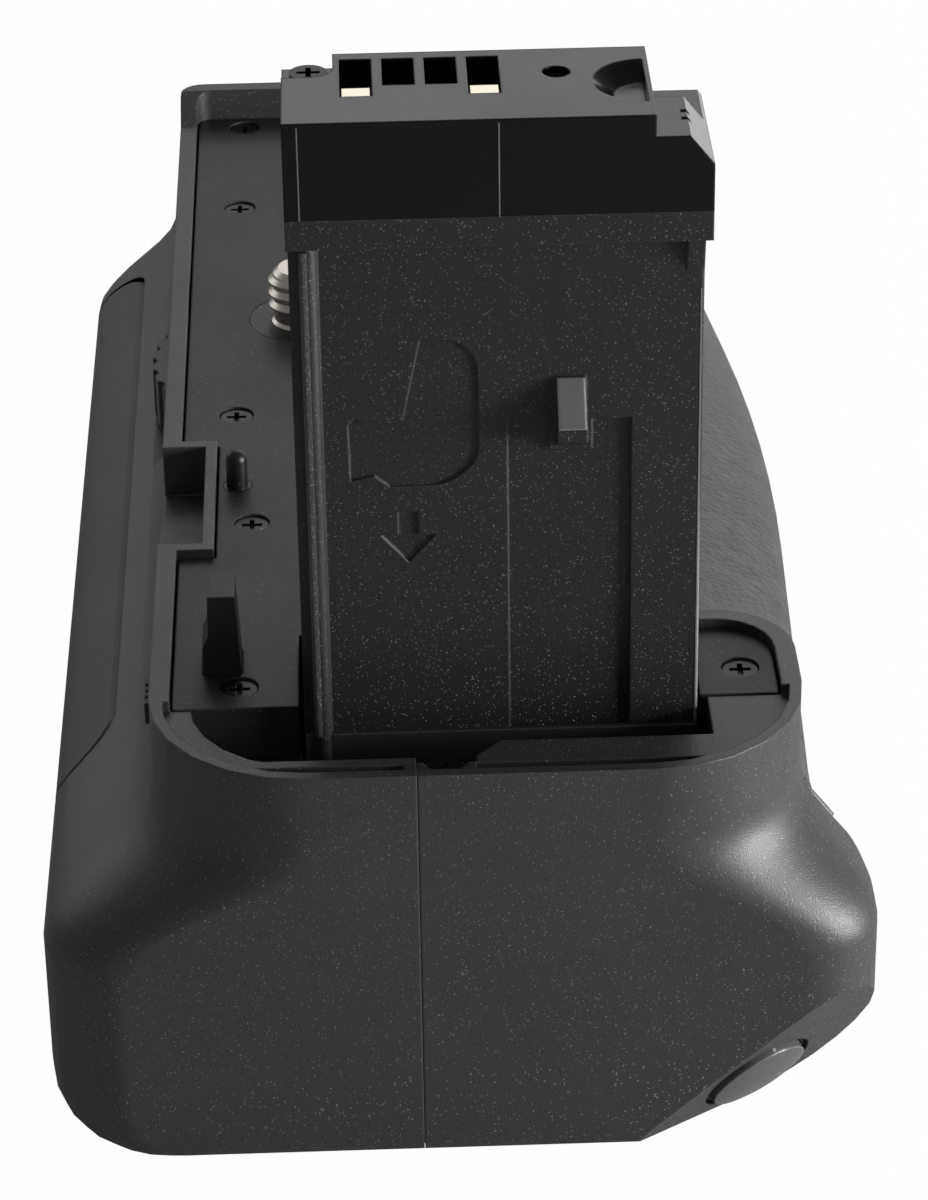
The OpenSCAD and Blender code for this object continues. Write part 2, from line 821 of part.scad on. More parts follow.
// Crosshead screw, hanging down from the top of its head
module screw(head_r, shank_r, head_t, len) {
    difference() {
        union() {
            translate([0, 0, -head_t]) cylinder(r = head_r, h = head_t);
            translate([0, 0, -len]) cylinder(r = shank_r, h = len);
        }
        for (turn = [0, 90])
            rotate([0, 0, turn]) translate([-head_r * 0.6, -head_r * 0.14, -head_t * 0.6])
                cube([head_r * 1.2, head_r * 0.28, head_t]);
    }
}

module deck_screws() {
    color("#1c1c1d")
        for (p = concat(deck_screw_at, [far_screw_at, lobe_screw_at]))
            translate([p.x, p.y, -deck_t / 2 + 0.8]) screw(screw_head_r, screw_r, 0.8, screw_len);
}

module end_screw() {
    color("#1c1c1d")
        translate([end_screw_at.x, end_screw_at.y, trough_top + end_seat + 0.8])
            screw(screw_head_r, screw_r, 0.8, screw_len - 1);
}

module chassis_post(p) {
    difference() {
        translate([p.x, p.y, chassis_low]) cylinder(r = boss_r, h = -deck_t - chassis_low);
        translate([p.x, p.y, -deck_t - screw_len]) cylinder(r = screw_r + seat_gap, h = screw_len + cut);
    }
}

module chassis() {
    color("#242425") {
        difference() {
            union() {
                block([chassis_far, chassis_rear, chassis_low], [lobe_x - 12, chassis_front, chassis_top]);
                block([lobe_x - 12 - cut, chassis_rear + 4, chassis_low],
                    [chassis_near, chassis_near_front, chassis_top]);
                block([stop_x0, chassis_rear, tray_z0 + 1.5], [stop_x0 + stop_t, chassis_front, chassis_top]);
                for (y = [tray_y0 + 5, tray_y1 - 11])
                    block([chassis_far, y, tray_z1 + move_gap], [stop_x0, y + 2, chassis_top]);
            }
            translate([0, 0, chassis_low - cut]) cylinder(r = pivot_r + run_gap, h = chassis_t + 2 * cut);
            block([trunk_x0 + 3.6, trunk_y0 + 9, chassis_low - cut],
                [trunk_x0 + 8, trunk_y0 + 21, chassis_top + cut]);
            for (p = deck_screw_at)
                translate([p.x, p.y, chassis_low - cut])
                    cylinder(r = boss_r - 0.2, h = chassis_t + 2 * cut);
        }
        for (p = deck_screw_at) chassis_post(p);
        for (x = [board_x0 + 4, chassis_near - 4], y = [board_rear + 4, board_front - 4])
            translate([x, y, board_top]) cylinder(r = 1.6, h = chassis_low - board_top + cut / 2);
    }
}

module tower_body() {
    ledge_h = 2.5;
    slot_y = [tower_y0 + 17, tower_y0 + 26.8];
    slot_top = 26.7;
    ridge_y = tower_y0 + 1.6;
    hook_y = tower_y0 + 20.8;
    hook_z = 24.4;
    color("#1e1e1f") {
        difference() {
            union() {
                block([trunk_x0, trunk_y0, chassis_top], [trunk_x1, trunk_y1, cap_z]);
                block([trunk_x1 - tower_wall, tower_y0, cap_z - ledge_h],
                    [tower_x1, tower_y1, cap_z]);
                translate([trunk_x1, ridge_y, trough_top])
                    cylinder(r = 0.8, h = cap_z - ledge_h - trough_top);
                along_y(hook_y, hook_y + 2.4)
                    polygon([[trunk_x1 - tower_wall, hook_z], [trunk_x1 + 2.2, hook_z],
                        [trunk_x1 + 2.2, hook_z + 0.6], [trunk_x1 + 0.2, hook_z + 6.1],
                        [trunk_x1 - tower_wall, hook_z + 6.1]]);
                along_y(trunk_y1 - 1.4, trunk_y1)
                    polygon([[trunk_x1 - 0.5, cap_z - ledge_h - 3], [trunk_x1, cap_z - ledge_h - 3],
                        [tower_x1, cap_z - ledge_h], [trunk_x1 - 0.5, cap_z - ledge_h]]);
            }
            block([trunk_x0 + tower_wall, trunk_y0 + tower_wall, chassis_top - cut],
                [trunk_x1 - tower_wall, trunk_y1 - tower_wall, cap_z + cut]);
            difference() {
                block([trunk_x1 - 0.5, slot_y[0], chassis_top - cut],
                    [trunk_x1 + cut, slot_y[1], slot_top]);
                block([trunk_x1 - 1, hook_y - 0.5, hook_z - 0.4], [trunk_x1 + 3, hook_y + 2.9, hook_z + 6.6]);
            }
            along_x(trunk_x1 - mark_depth, trunk_x1 + cut)
                translate([tower_y0, 0]) {
                    battery_mark();
                    arrow_mark();
                }
        }
    }
}

// Sunk pictogram of a battery on the tower's near face
module battery_mark() {
    polygon([[10.2, 34], [13.4, 33.8], [14.7, 32], [14.7, 23.2], [12.2, 21.1], [7.6, 21], [6.4, 22],
        [4.5, 21.6], [4.4, 26.6], [5, 27.2], [5.6, 26.7], [8.7, 26.8]]);
}

// Sunk arrow that points into the camera's battery chamber
module arrow_mark() {
    polygon([[8.2, 18.7], [8.2, 16.6], [6.8, 16.6], [9, 14.1], [11.2, 16.6], [9.8, 16.6], [9.8, 18.7]]);
}

// Place of a contact window's rear edge across the tower
function contact_y(k) = tower_y0 + 4.5 + k * contact_pitch;
function contact_far(k) = tower_x0 + 1.2;
function contact_near(k) = tower_x0 + ((k == 0 || k == 3) ? 8.4 : 6.4);

module tower_cap() {
    pad_r = 1.9;
    pad_at = [tower_x0 + 2.6, tower_y0 + 2.1];
    pad_z = tower_h - 1.2;
    step_y = tower_y0 + 28.5;
    dish = 1.3;
    end_t = 0.4;
    roof = 1.6;
    color("#141415")
        difference() {
            along_x(tower_x0, tower_x1)
                polygon([[tower_y0, cap_z], [tower_y1, cap_z], [tower_y1, tower_h - 4.2],
                    [tower_y1 - 1.9, tower_h - 1.8], [step_y, tower_h - 1.8], [step_y, tower_h],
                    [tower_y0, tower_h]]);
            block([tower_x0 + tower_wall, tower_y0 + 4.2, cap_z - cut],
                [tower_x1 - tower_wall, step_y - 0.4, tower_h - roof]);
            for (k = [0:3])
                block([contact_far(k), contact_y(k), cap_z],
                    [contact_near(k), contact_y(k) + contact_w, tower_h + cut]);
            translate([tower_x0 + 4.6, tower_y0 + 21.3, tower_h - 0.7]) cylinder(r = 1.1, h = 2);
            intersection() {
                translate([tower_x0 + 6.6, step_y - end_t, tower_h - dish])
                    cylinder(r1 = 2.4, r2 = 4.2, h = dish + seat_gap);
                block([tower_x0, tower_y0, cap_z], [tower_x1, step_y - end_t, tower_h + cut]);
            }
            translate([0, 0, cap_z - cut]) linear_extrude(cap_h + 2 * cut)
                polygon([[tower_x1 + cut, tower_y0 - cut], [tower_x1 + cut, tower_y0 + 1.2],
                    [tower_x1 - 0.5, tower_y0 - cut]]);
            translate([tower_x0 - cut, tower_y0 - cut, pad_z])
                cube([pad_at.x - tower_x0 + cut, pad_at.y - tower_y0 + pad_r + cut, 2]);
            translate([pad_at.x, tower_y0 - cut, pad_z]) cube([pad_r, pad_at.y - tower_y0 + cut, 2]);
            translate([pad_at.x, pad_at.y, pad_z]) cylinder(r = pad_r, h = 2);
            translate([pad_at.x, pad_at.y, cap_z - cut])
                cylinder(r = screw_r + seat_gap, h = cap_h + 2 * cut);
            block([tower_x0 - cut, step_y, tower_h - 3.8], [tower_x1 - 7.6, tower_y1 + cut, tower_h + cut]);
            for (k = [0, 1])
                block([tower_x1 - 5 + k * 1.4, tower_y1 - 2.4, tower_h - 2.1],
                    [tower_x1 - 4.5 + k * 1.4, tower_y1 + cut, tower_h]);
        }
}

module tower_cap_screw() {
    color("#1c1c1d")
        translate([tower_x0 + 2.6, tower_y0 + 2.1, tower_h - 0.4])
            screw(screw_head_r, screw_r, 0.8, cap_h - 0.6);
}

module terminal_board() {
    side = 1.2;
    rear_in = 4.4;
    span = 17.6;
    color("#1d4a2c")
        block([trunk_x0 + side, tower_y0 + rear_in, cap_z],
            [trunk_x1 - side, tower_y0 + rear_in + span, cap_z + board_t]);
}

module terminal_contacts() {
    color("#cdb68a")
        for (k = [0:3])
            block([contact_near(k) - 1.9, contact_y(k) + 0.15, cap_z + board_t],
                [contact_near(k) - 0.15, contact_y(k) + contact_w - 0.15,
                    (k == 0 || k == 3) ? tower_h - 0.15 : tower_h - 4]);
}

module tower_ribbon() {
    far_in = 5;
    rear_in = 10;
    film_t = 0.3;
    film_w = 10;
    color("#b9782f")
        block([trunk_x0 + far_in, trunk_y0 + rear_in, board_top],
            [trunk_x0 + far_in + film_t, trunk_y0 + rear_in + film_w, cap_z]);
}

module mount_screw() {
    tip = 0.6;
    color("#b9b9bb")
        rotate_extrude()
            polygon([[0, chassis_low + 0.3], [pivot_r, chassis_low + 0.3], [pivot_r, wheel_low],
                [stud_neck_r, wheel_low], [stud_neck_r, wheel_top], [collar_r, wheel_top],
                [collar_r, wheel_top + collar_t], [stud_neck_r, wheel_top + collar_t], [stud_neck_r, 0],
                [stud_r, 0], [stud_r, stud_h - tip], [stud_r - tip, stud_h], [0, stud_h]]);
}

module thumbwheel() {
    groove_r = 0.7;
    color("#262627")
        difference() {
            translate([0, 0, wheel_low]) cylinder(r = wheel_r, h = wheel_t);
            translate([0, 0, wheel_low - cut]) cylinder(r = stud_neck_r, h = wheel_t + 2 * cut);
            for (k = [0:wheel_knurls - 1])
                rotate([0, 0, 360 * k / wheel_knurls])
                    translate([wheel_r + groove_r - knurl_depth, 0, wheel_low - cut])
                        cylinder(r = groove_r, h = wheel_t + 2 * cut, $fn = 16);
        }
}

module screw_bush() {
    color("#a9a9ab")
        translate([0, 0, -bush_t])
            difference() {
                cylinder(r = bush_r, h = bush_t);
                translate([0, 0, -cut]) cylinder(r = stud_neck_r + run_gap, h = bush_t + 2 * cut);
            }
}

module locating_pin() {
    color("#2a2a2b") {
        translate([pin_x, pin_y, -deck_t]) cylinder(r = pin_foot_r, h = deck_t);
        translate([pin_x, pin_y, -cut]) cylinder(r = pin_r, h = pin_h - pin_r + cut);
        translate([pin_x, pin_y, pin_h - pin_r]) sphere(pin_r);
    }
}

module door_switch_post() {
    color("#1a1a1b")
        along_x(post_near - post_t, post_near)
            polygon([[post_y, -deck_t], [post_y + post_w, -deck_t], [post_y + post_w, 0],
                [post_y + post_w - 0.35, post_h], [post_y + 0.6, post_h], [post_y + 0.5, post_h / 2],
                [post_y, post_h / 3]]);
}

// Floor plate let into both shells from inside, which ties them together under the magazine
module base_plate() {
    color("#2d2d2f")
        difference() {
            union() {
                translate([0, 0, -body_h]) linear_extrude(wall) floor_outline(0);
                translate([0, 0, -body_h + wall + seat_gap]) linear_extrude(floor_lap)
                    floor_outline(floor_lip);
                translate([0, 0, -body_h + wall / 2]) linear_extrude(wall) floor_outline(-cut);
            }
            translate([0, 0, -body_h - cut]) cylinder(r = bush_r + seat_gap, h = wall + floor_lap + 2 * cut);
            translate([0, 0, -body_h + wall]) cylinder(r = tripod_flange_r + seat_gap, h = wall);
        }
}

module tripod_bush() {
    color("#b39a62")
        difference() {
            union() {
                translate([0, 0, -body_h + 0.1]) cylinder(r = bush_r, h = tripod_len);
                translate([0, 0, -body_h + wall]) cylinder(r = tripod_flange_r, h = tripod_flange_t);
            }
            translate([0, 0, -body_h - cut]) cylinder(r = tripod_r, h = tripod_len + 3 * cut);
        }
}

module shutter_cup() {
    color("#202021")
        at_shutter()
            difference() {
                translate([0, 0, -cup_len]) cylinder(r = shutter_r + cup_wall, h = cup_len - 0.4);
                translate([0, 0, -cup_len + 1.4]) cylinder(r = shutter_r + 0.08, h = cup_len);
                translate([0, 0, -cup_len - cut]) cylinder(r = stem_r + 0.2, h = 3 * cut + 1.4);
            }
}

module shutter_button() {
    dome = 0.6;
    dome_r = (shutter_r * shutter_r + dome * dome) / (2 * dome);
    skirt = 2.6;
    color("#1d1d1e")
        at_shutter() {
            translate([0, 0, -skirt]) cylinder(r = shutter_r, h = skirt + 0.4);
            intersection() {
                translate([0, 0, 0.4 + dome - dome_r]) sphere(dome_r, $fn = 96);
                translate([0, 0, 0.4]) cylinder(r = shutter_r, h = dome);
            }
            translate([0, 0, -cup_len - 0.2]) cylinder(r = stem_r, h = cup_len - skirt + 0.4);
        }
}

module shutter_switch() {
    size = 6;
    color("#8d8d90")
        at_shutter()
            difference() {
                translate([-size / 2, -size / 2, -cup_len - 3.4]) cube([size, size, 3.4]);
                translate([0, 0, -cup_len - shutter_travel - 0.6]) cylinder(r = stem_r + 0.4, h = 3);
            }
}

module main_dial() {
    teeth = 24;
    color("#18181a")
        at_dial()
            difference() {
                translate([0, 0, -dial_w / 2]) cylinder(r = dial_r, h = dial_w);
                translate([0, 0, -dial_w]) cylinder(r = axle_r + run_gap, h = 2 * dial_w);
                for (k = [0:teeth - 1])
                    rotate([0, 0, 360 * k / teeth]) translate([dial_r + 0.25, 0, -dial_w])
                        cylinder(r = 0.6, h = 2 * dial_w, $fn = 16);
            }
}

module dial_axle() {
    color("#b0b0b2")
        at_dial()
            translate([0, 0, -bracket_half]) cylinder(r = axle_r, h = 2 * bracket_half);
}

// Outer block of the dial's bracket, grown by a clearance
module bracket_form(grow) {
    at_dial()
        translate([-ear_w / 2 - grow, -bracket_back, -bracket_half - grow])
            cube([ear_w + 2 * grow, bracket_back + ear_up + grow, 2 * (bracket_half + grow)]);
}

module bracket_room() {
    bracket_form(0.15);
}

// Two ears on a back plate, with a foot that seats under the chassis
module dial_bracket() {
    gap = bracket_half - ear_t;
    plate_t = 1.1;
    foot_t = 1.2;
    back = dial_at - (bracket_back - plate_t / 2) * dial_nrm;
    foot_y = back.y - (chassis_low - seat_gap - foot_t / 2 - back.z) * dial_nrm.z / dial_nrm.y;
    color("#77777a") {
        difference() {
            bracket_form(0);
            at_dial() translate([-ear_w, plate_t - bracket_back, -gap])
                cube([2 * ear_w, 2 * bracket_back, 2 * gap]);
            at_dial() translate([0, 0, -2 * gap]) cylinder(r = axle_r + seat_gap / 2, h = 4 * gap);
        }
        block([dial_at.x - ear_w / 2, chassis_near_front - 2.6, chassis_low - foot_t - seat_gap],
            [dial_at.x + ear_w / 2, foot_y, chassis_low - seat_gap]);
    }
}

module power_knob() {
    ribs = 3;
    x1 = knob_x0 + knob_len;
    color("#1b1b1c")
        difference() {
            block([knob_x0, rear_y - knob_out, slot_z - knob_h / 2], [x1, switch_y0 + 1.2, slot_z + knob_h / 2]);
            for (k = [1:ribs])
                block([knob_x0 + k * knob_len / (ribs + 1) - 0.2, rear_y - 2 * knob_out, slot_z - knob_h],
                    [knob_x0 + k * knob_len / (ribs + 1) + 0.2, rear_y - knob_out + 0.3, slot_z + knob_h]);
        }
}

module power_switch() {
    side = 1.2;
    color("#9a9a9c")
        difference() {
            block([switch_x0, switch_y0, slot_z - knob_h / 2 - side],
                [slot_far + slot_len + 0.4, switch_y0 + 2.8, slot_z + knob_h / 2 + side]);
            block([slot_far, switch_y0 - cut, slot_z - knob_h / 2 - move_gap],
                [slot_far + slot_len, switch_y0 + 1.2 + move_gap, slot_z + knob_h / 2 + move_gap]);
        }
}

module thumb_button(x) {
    translate([x, low_rear + thumb_sink, thumb_z]) rotate([-90, 0, 0]) {
        cylinder(r = thumb_r, h = wall - thumb_sink + thumb_travel);
        translate([0, 0, wall - thumb_sink + move_gap]) cylinder(r = thumb_r + 0.7, h = thumb_flange);
        cylinder(r = 1, h = wall - thumb_sink + thumb_deep - dome_t - thumb_travel - 0.4);
    }
}

module lock_button() {
    color("#232324") thumb_button(thumb_xs[0]);
}

module point_button() {
    color("#232324") thumb_button(thumb_xs[1]);
}

module thumb_switches() {
    margin = thumb_side + 1.8;
    half = 4;
    color("#1d4a2c") {
        block([thumb_xs[0] - margin, thumb_plate_y, thumb_z - half],
            [thumb_xs[1] + margin, thumb_plate_y + board_t, thumb_z + half]);
        for (x = thumb_xs)
            translate([x, thumb_plate_y - dome_t, thumb_z]) rotate([-90, 0, 0])
                cylinder(r = dome_r, h = dome_t + cut / 2);
    }
}

module main_board() {
    chips = [[4, 6, 9, 9], [16, 8, 7, 7], [5, 22, 5, 8], [17, 24, 4, 6]];
    chip_t = 1;
    color("#1d4a2c") {
        block([board_x0, board_rear, board_top - board_t], [chassis_near, board_front, board_top]);
        for (c = chips)
            translate([chassis_near - c[0] - c[2], board_rear + c[1], board_top - board_t - chip_t])
                cube([c[2], c[3], chip_t + board_t / 2]);
    }
}

module magazine_tray() {
    notch = 16;
    color("#2c2c2e")
        difference() {
            block([plug_x1, tray_y0, tray_z0], [tray_x1, tray_y1, tray_z1]);
            block([plug_x1 - cut, tray_y0 + tray_wall, tray_z0 + tray_floor],
                [bay_x0 - tray_wall, tray_y1 - tray_wall, tray_z1 + cut]);
            for (k = [0, 1])
                translate([k * (bay_w + bay_mid), 0, 0]) {
                    block([bay_x0, tray_y0 + tray_wall, tray_z0 + tray_floor],
                        [bay_x0 + bay_w, tray_y1 - tray_wall, tray_z1 + cut]);
                    along_y(tray_y0 - cut, tray_y0 + tray_wall + cut)
                        rrect([bay_x0 + bay_w / 2 - notch / 2, tray_z0 + tray_floor + 4],
                            [bay_x0 + bay_w / 2 + notch / 2, tray_z1 + notch], 3);
                }
            for (y = contact_rows())
                block([tray_x1 - contact_t - seat_gap, y - tab_w / 2 - seat_gap, key_z - tab_h / 2 - seat_gap],
                    [tray_x1 + cut, y + tab_w / 2 + seat_gap, key_z + tab_h / 2 + seat_gap]);
        }
}

function contact_rows() = [for (k = [0:3]) key_y - 12 + 8 * k];

module tray_contacts() {
    color("#cdb68a")
        for (y = contact_rows())
            block([tray_x1 - contact_t, y - tab_w / 2, key_z - tab_h / 2],
                [tray_x1, y + tab_w / 2, key_z + tab_h / 2]);
}

module bay_contacts() {
    color("#cdb68a")
        for (y = contact_rows())
            block([stop_x0 - contact_t, y - blade_w / 2, key_z - blade_h / 2],
                [stop_x0, y + blade_w / 2, key_z + blade_h / 2]);
}

module magazine_cover() {
    plate_r = 3;
    color("#2f2f31")
        difference() {
            union() {
                along_x(cover_x0, cover_x1)
                    rrect([tray_y0 - cover_lap, tray_z0 - cover_lap],
                        [tray_y1 + cover_lap, tray_z1 + cover_lap], plate_r);
                block([cover_x1 - cut, tray_y0, tray_z0], [plug_x1, tray_y1, tray_z1]);
            }
            translate([cover_x0 - cut, key_y, key_z]) rotate([0, 90, 0])
                cylinder(r = key_r + move_gap, h = key_recess + cut);
            translate([cover_x0 - cut, key_y, key_z]) rotate([0, 90, 0])
                cylinder(r = spindle_r + run_gap, h = cover_t + plug_t + 2 * cut);
        }
}

module latch_key() {
    bar_w = 2.4;
    base_x = cover_x0 + key_recess - move_gap;
    color("#3a3a3c") {
        translate([base_x - key_t, key_y, key_z]) rotate([0, 90, 0]) cylinder(r = key_r, h = key_t);
        translate([base_x - key_t - cut / 2, key_y, key_z]) rotate([0, 90, 0])
            cylinder(r = spindle_r, h = plug_x1 + move_gap + tongue_t - base_x + key_t + cut / 2);
        block([cover_x0 + 0.2, key_y - key_r + 0.8, key_z - bar_w / 2],
            [base_x - key_t / 2, key_y + key_r - 0.8, key_z + bar_w / 2]);
    }
}

module latch_tongue() {
    hub_r = 3;
    tongue_w = 4;
    color("#9c9c9f")
        along_x(plug_x1 + move_gap, plug_x1 + move_gap + tongue_t)
            difference() {
                union() {
                    translate([key_y, key_z]) circle(hub_r);
                    translate([key_y, key_z - tongue_w / 2]) square([tongue_len, tongue_w]);
                }
                translate([key_y, key_z]) circle(spindle_r);
            }
}

rear_shell();
front_shell();
rear_grip_panel();
front_grip_rubber();
deck_plate();
corner_plate();
deck_screws();
end_screw();
chassis();
tower_body();
tower_cap();
tower_cap_screw();
terminal_board();
terminal_contacts();
tower_ribbon();
mount_screw();
thumbwheel();
screw_bush();
locating_pin();
door_switch_post();
tripod_bush();
shutter_cup();
shutter_button();
shutter_switch();
main_dial();
dial_axle();
dial_bracket();
power_knob();
power_switch();
lock_button();
point_button();
thumb_switches();
main_board();
magazine_tray();
tray_contacts();
magazine_cover();
latch_key();
latch_tongue();
bay_contacts();
base_plate();
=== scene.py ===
import json
import math

import bmesh
import bpy
from mathutils import Matrix, Vector


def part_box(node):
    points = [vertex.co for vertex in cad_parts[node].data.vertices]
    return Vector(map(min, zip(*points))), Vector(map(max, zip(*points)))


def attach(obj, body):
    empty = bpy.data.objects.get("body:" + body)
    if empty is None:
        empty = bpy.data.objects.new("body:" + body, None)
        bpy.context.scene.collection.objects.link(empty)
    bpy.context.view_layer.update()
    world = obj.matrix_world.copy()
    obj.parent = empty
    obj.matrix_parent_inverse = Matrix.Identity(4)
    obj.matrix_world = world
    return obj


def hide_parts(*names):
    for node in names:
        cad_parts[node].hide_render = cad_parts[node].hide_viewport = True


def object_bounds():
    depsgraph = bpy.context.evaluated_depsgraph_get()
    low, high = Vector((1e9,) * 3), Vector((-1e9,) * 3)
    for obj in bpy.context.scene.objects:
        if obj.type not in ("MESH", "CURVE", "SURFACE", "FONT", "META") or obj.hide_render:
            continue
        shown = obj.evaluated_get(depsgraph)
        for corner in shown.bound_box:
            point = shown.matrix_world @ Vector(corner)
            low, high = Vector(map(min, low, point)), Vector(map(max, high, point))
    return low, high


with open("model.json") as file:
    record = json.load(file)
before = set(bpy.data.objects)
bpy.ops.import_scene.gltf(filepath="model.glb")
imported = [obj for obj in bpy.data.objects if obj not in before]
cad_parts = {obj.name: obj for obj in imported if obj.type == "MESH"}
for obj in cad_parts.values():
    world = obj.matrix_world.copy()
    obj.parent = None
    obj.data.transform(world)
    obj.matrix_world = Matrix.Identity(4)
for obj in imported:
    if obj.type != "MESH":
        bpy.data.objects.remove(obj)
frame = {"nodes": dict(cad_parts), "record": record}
cad_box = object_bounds()

# The view of the photograph: a long lens about 0.4 m off, above the shutter end,
# so the tower stands in the middle and the far end falls away behind it.
viewpoint = bpy.data.objects.new("viewpoint", bpy.data.cameras.new("viewpoint"))
viewpoint.data.lens = 128.55
viewpoint.data.sensor_width = 36
eye = Vector((0.3726, 0.0054, 0.1838))
sight = Vector((-0.86510598, 0.02300282, -0.50106138)).normalized()
level = Vector((0.0340807, 0.999335, -0.01296428))
aside = (level - sight * level.dot(sight)).normalized()
viewpoint.matrix_world = Matrix.Translation(eye) @ Matrix(
    (aside, aside.cross(sight), -sight)).transposed().to_4x4()
bpy.context.scene.collection.objects.link(viewpoint)
bpy.context.scene.camera = viewpoint


# Shells and floor: the two halves of the housing and the plate that closes it, injection moulded
# in charcoal plastic from spark-eroded tools, so the skin is a fine grain; a few grains are
# painted bright as glints.
# The halves close on a line round the ends, over a small lip, and are held by the deck screws.
class Shade:
    """A number or colour in a finish. Sums and products of it become shader nodes."""

    def __init__(self, tree, socket):
        self.tree = tree
        self.socket = socket

    def node(self, kind, settings=None, inputs=None, output=0):
        made = self.tree.nodes.new(kind)
        for name, value in (settings or {}).items():
            setattr(made, name, value)
        for name, value in (inputs or {}).items():
            if isinstance(value, Shade):
                self.tree.links.new(value.socket, made.inputs[name])
            else:
                made.inputs[name].default_value = value
        return Shade(self.tree, made.outputs[output])

    def maths(self, operation, *values):
        return self.node("ShaderNodeMath", {"operation": operation}, dict(enumerate(values)))

    def __add__(self, other):
        return self.maths("ADD", self, other)

    def __sub__(self, other):
        return self.maths("SUBTRACT", self, other)

    def __rsub__(self, other):
        return self.maths("SUBTRACT", other, self)

    def __mul__(self, other):
        return self.maths("MULTIPLY", self, other)

    def __lt__(self, other):
        return self.maths("LESS_THAN", self, other)

    __radd__ = __add__
    __rmul__ = __mul__

    def stretched(self, scale):
        return self.node("ShaderNodeVectorMath", {"operation": "MULTIPLY"}, {0: self, 1: scale})

    def tinted(self, tint):
        return self.node("ShaderNodeMix", {"data_type": "RGBA", "blend_type": "MULTIPLY"},
                         {0: 1.0, 6: (*tint, 1.0), 7: self}, 2)


def surface(name, **constants):
    """A new finish, its main shader with those fixed values, and the place on the piece."""
    finish = bpy.data.materials.new(name)
    finish.use_nodes = True
    shader = finish.node_tree.nodes["Principled BSDF"]
    for socket, value in constants.items():
        shader.inputs[socket.replace("_", " ")].default_value = value
    spot = finish.node_tree.nodes.new("ShaderNodeTexCoord")
    return finish, shader, Shade(finish.node_tree, spot.outputs["Object"])


def coated(finish, shader, tone, rough, skin):
    """Feeds the tone, the roughness and the relief of a finish to its main shader."""
    for socket, shade in (("Base Color", tone), ("Roughness", rough), ("Normal", skin)):
        finish.node_tree.links.new(shade.socket, shader.inputs[socket])
    return finish


def moulded(name, tint, rough=0.5, gloss=0.4, cell=9000, glint_share=0.012, glint=2.4, drift=0.2,
            patch=90, relief=0.00003, round_off=0.00025, edge_highlight=5.0):
    """Moulded plastic: drifting tone, a pebbled skin, painted highlights on edges and painted
    glints.
    """
    bite, patchy, polish = 0.6, 0.12, 0.15
    finish, shader, place = surface(name, Specular_IOR_Level=gloss)
    grain = {"Vector": place, "Scale": cell}
    # Painted glint: a share of the grains is lightened in the base colour; the same grains also
    # stand up in the relief and are smoother.
    chance = place.node("ShaderNodeTexVoronoi", inputs=grain, output="Color")
    glint_grain = place.node("ShaderNodeSeparateColor", inputs={"Color": chance}) < glint_share
    cloud = place.node("ShaderNodeTexNoise", inputs={"Vector": place, "Scale": patch, "Detail": 4})
    edge = place.node("ShaderNodeBevel", {"samples": 6}, {"Radius": round_off})
    facing = place.node("ShaderNodeNewGeometry", output="Normal")
    flat = place.node("ShaderNodeVectorMath", {"operation": "DOT_PRODUCT"},
                      {0: edge, 1: facing}, "Value")
    # Painted highlight: edges, where the bevelled normal turns from the face, and the glinting
    # grains are lightened in the base colour.
    tone = (1 - drift / 2 + drift * cloud) * (1 + glint * glint_grain) + edge_highlight * (1 - flat)
    pebble = place.node("ShaderNodeTexVoronoi", inputs=grain, output="Distance")
    skin = place.node("ShaderNodeBump", inputs={
        "Strength": bite, "Distance": relief, "Height": 1 - pebble + glint_grain, "Normal": edge})
    uneven = rough + patchy * (cloud - 0.5) - polish * glint_grain
    return coated(finish, shader, tone.tinted(tint), uneven, skin)


body_of = {node: body for body, nodes in frame["record"]["behaviour"]["bodies"].items()
           for node in nodes}


def added(work, name, finish, node):
    """Makes an object of a worked mesh that moves with the body of a CAD piece."""
    crease = math.radians(32)
    bmesh.ops.recalc_face_normals(work, faces=work.faces)
    for edge in work.edges:
        edge.smooth = edge.is_manifold and edge.calc_face_angle(0) < crease
    for face in work.faces:
        face.smooth = True
        face.material_index = 0
    mesh = bpy.data.meshes.new(name)
    work.to_mesh(mesh)
    work.free()
    if "custom_normal" in mesh.attributes:
        mesh.attributes.remove(mesh.attributes["custom_normal"])
    mesh.materials.append(finish)
    piece = bpy.data.objects.new(name, mesh)
    bpy.context.scene.collection.objects.link(piece)
    even = piece.modifiers.new("even shading", "WEIGHTED_NORMAL")
    even.keep_sharp = True
    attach(piece, body_of[node])
    return piece


def placed(work, name, finish, node):
    """Adds an object that also stands in for the CAD piece."""
    piece = added(work, name, finish, node)
    cad = frame["nodes"][node].data
    cad.materials.clear()
    cad.materials.append(finish)
    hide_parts(node)


def merged(node):
    """The mesh of a CAD piece with its split corners merged, ready to be worked."""
    work = bmesh.new()
    work.from_mesh(frame["nodes"][node].data)
    bmesh.ops.remove_doubles(work, verts=work.verts, dist=1e-6)
    return work


def smoothed(finish, *nodes):
    """Copies of CAD pieces whose rounds shade evenly while their real edges stay crisp."""
    for node in nodes:
        placed(merged(node), node + "_skin", finish, node)


def drawn_out(work, outline, reach):
    """Draws a closed outline of points along a vector into a solid."""
    face = work.faces.new([work.verts.new(point) for point in outline])
    end = bmesh.ops.extrude_face_region(work, geom=[face])["geom"]
    far_verts = [part for part in end if isinstance(part, bmesh.types.BMVert)]
    bmesh.ops.translate(work, vec=reach, verts=far_verts)


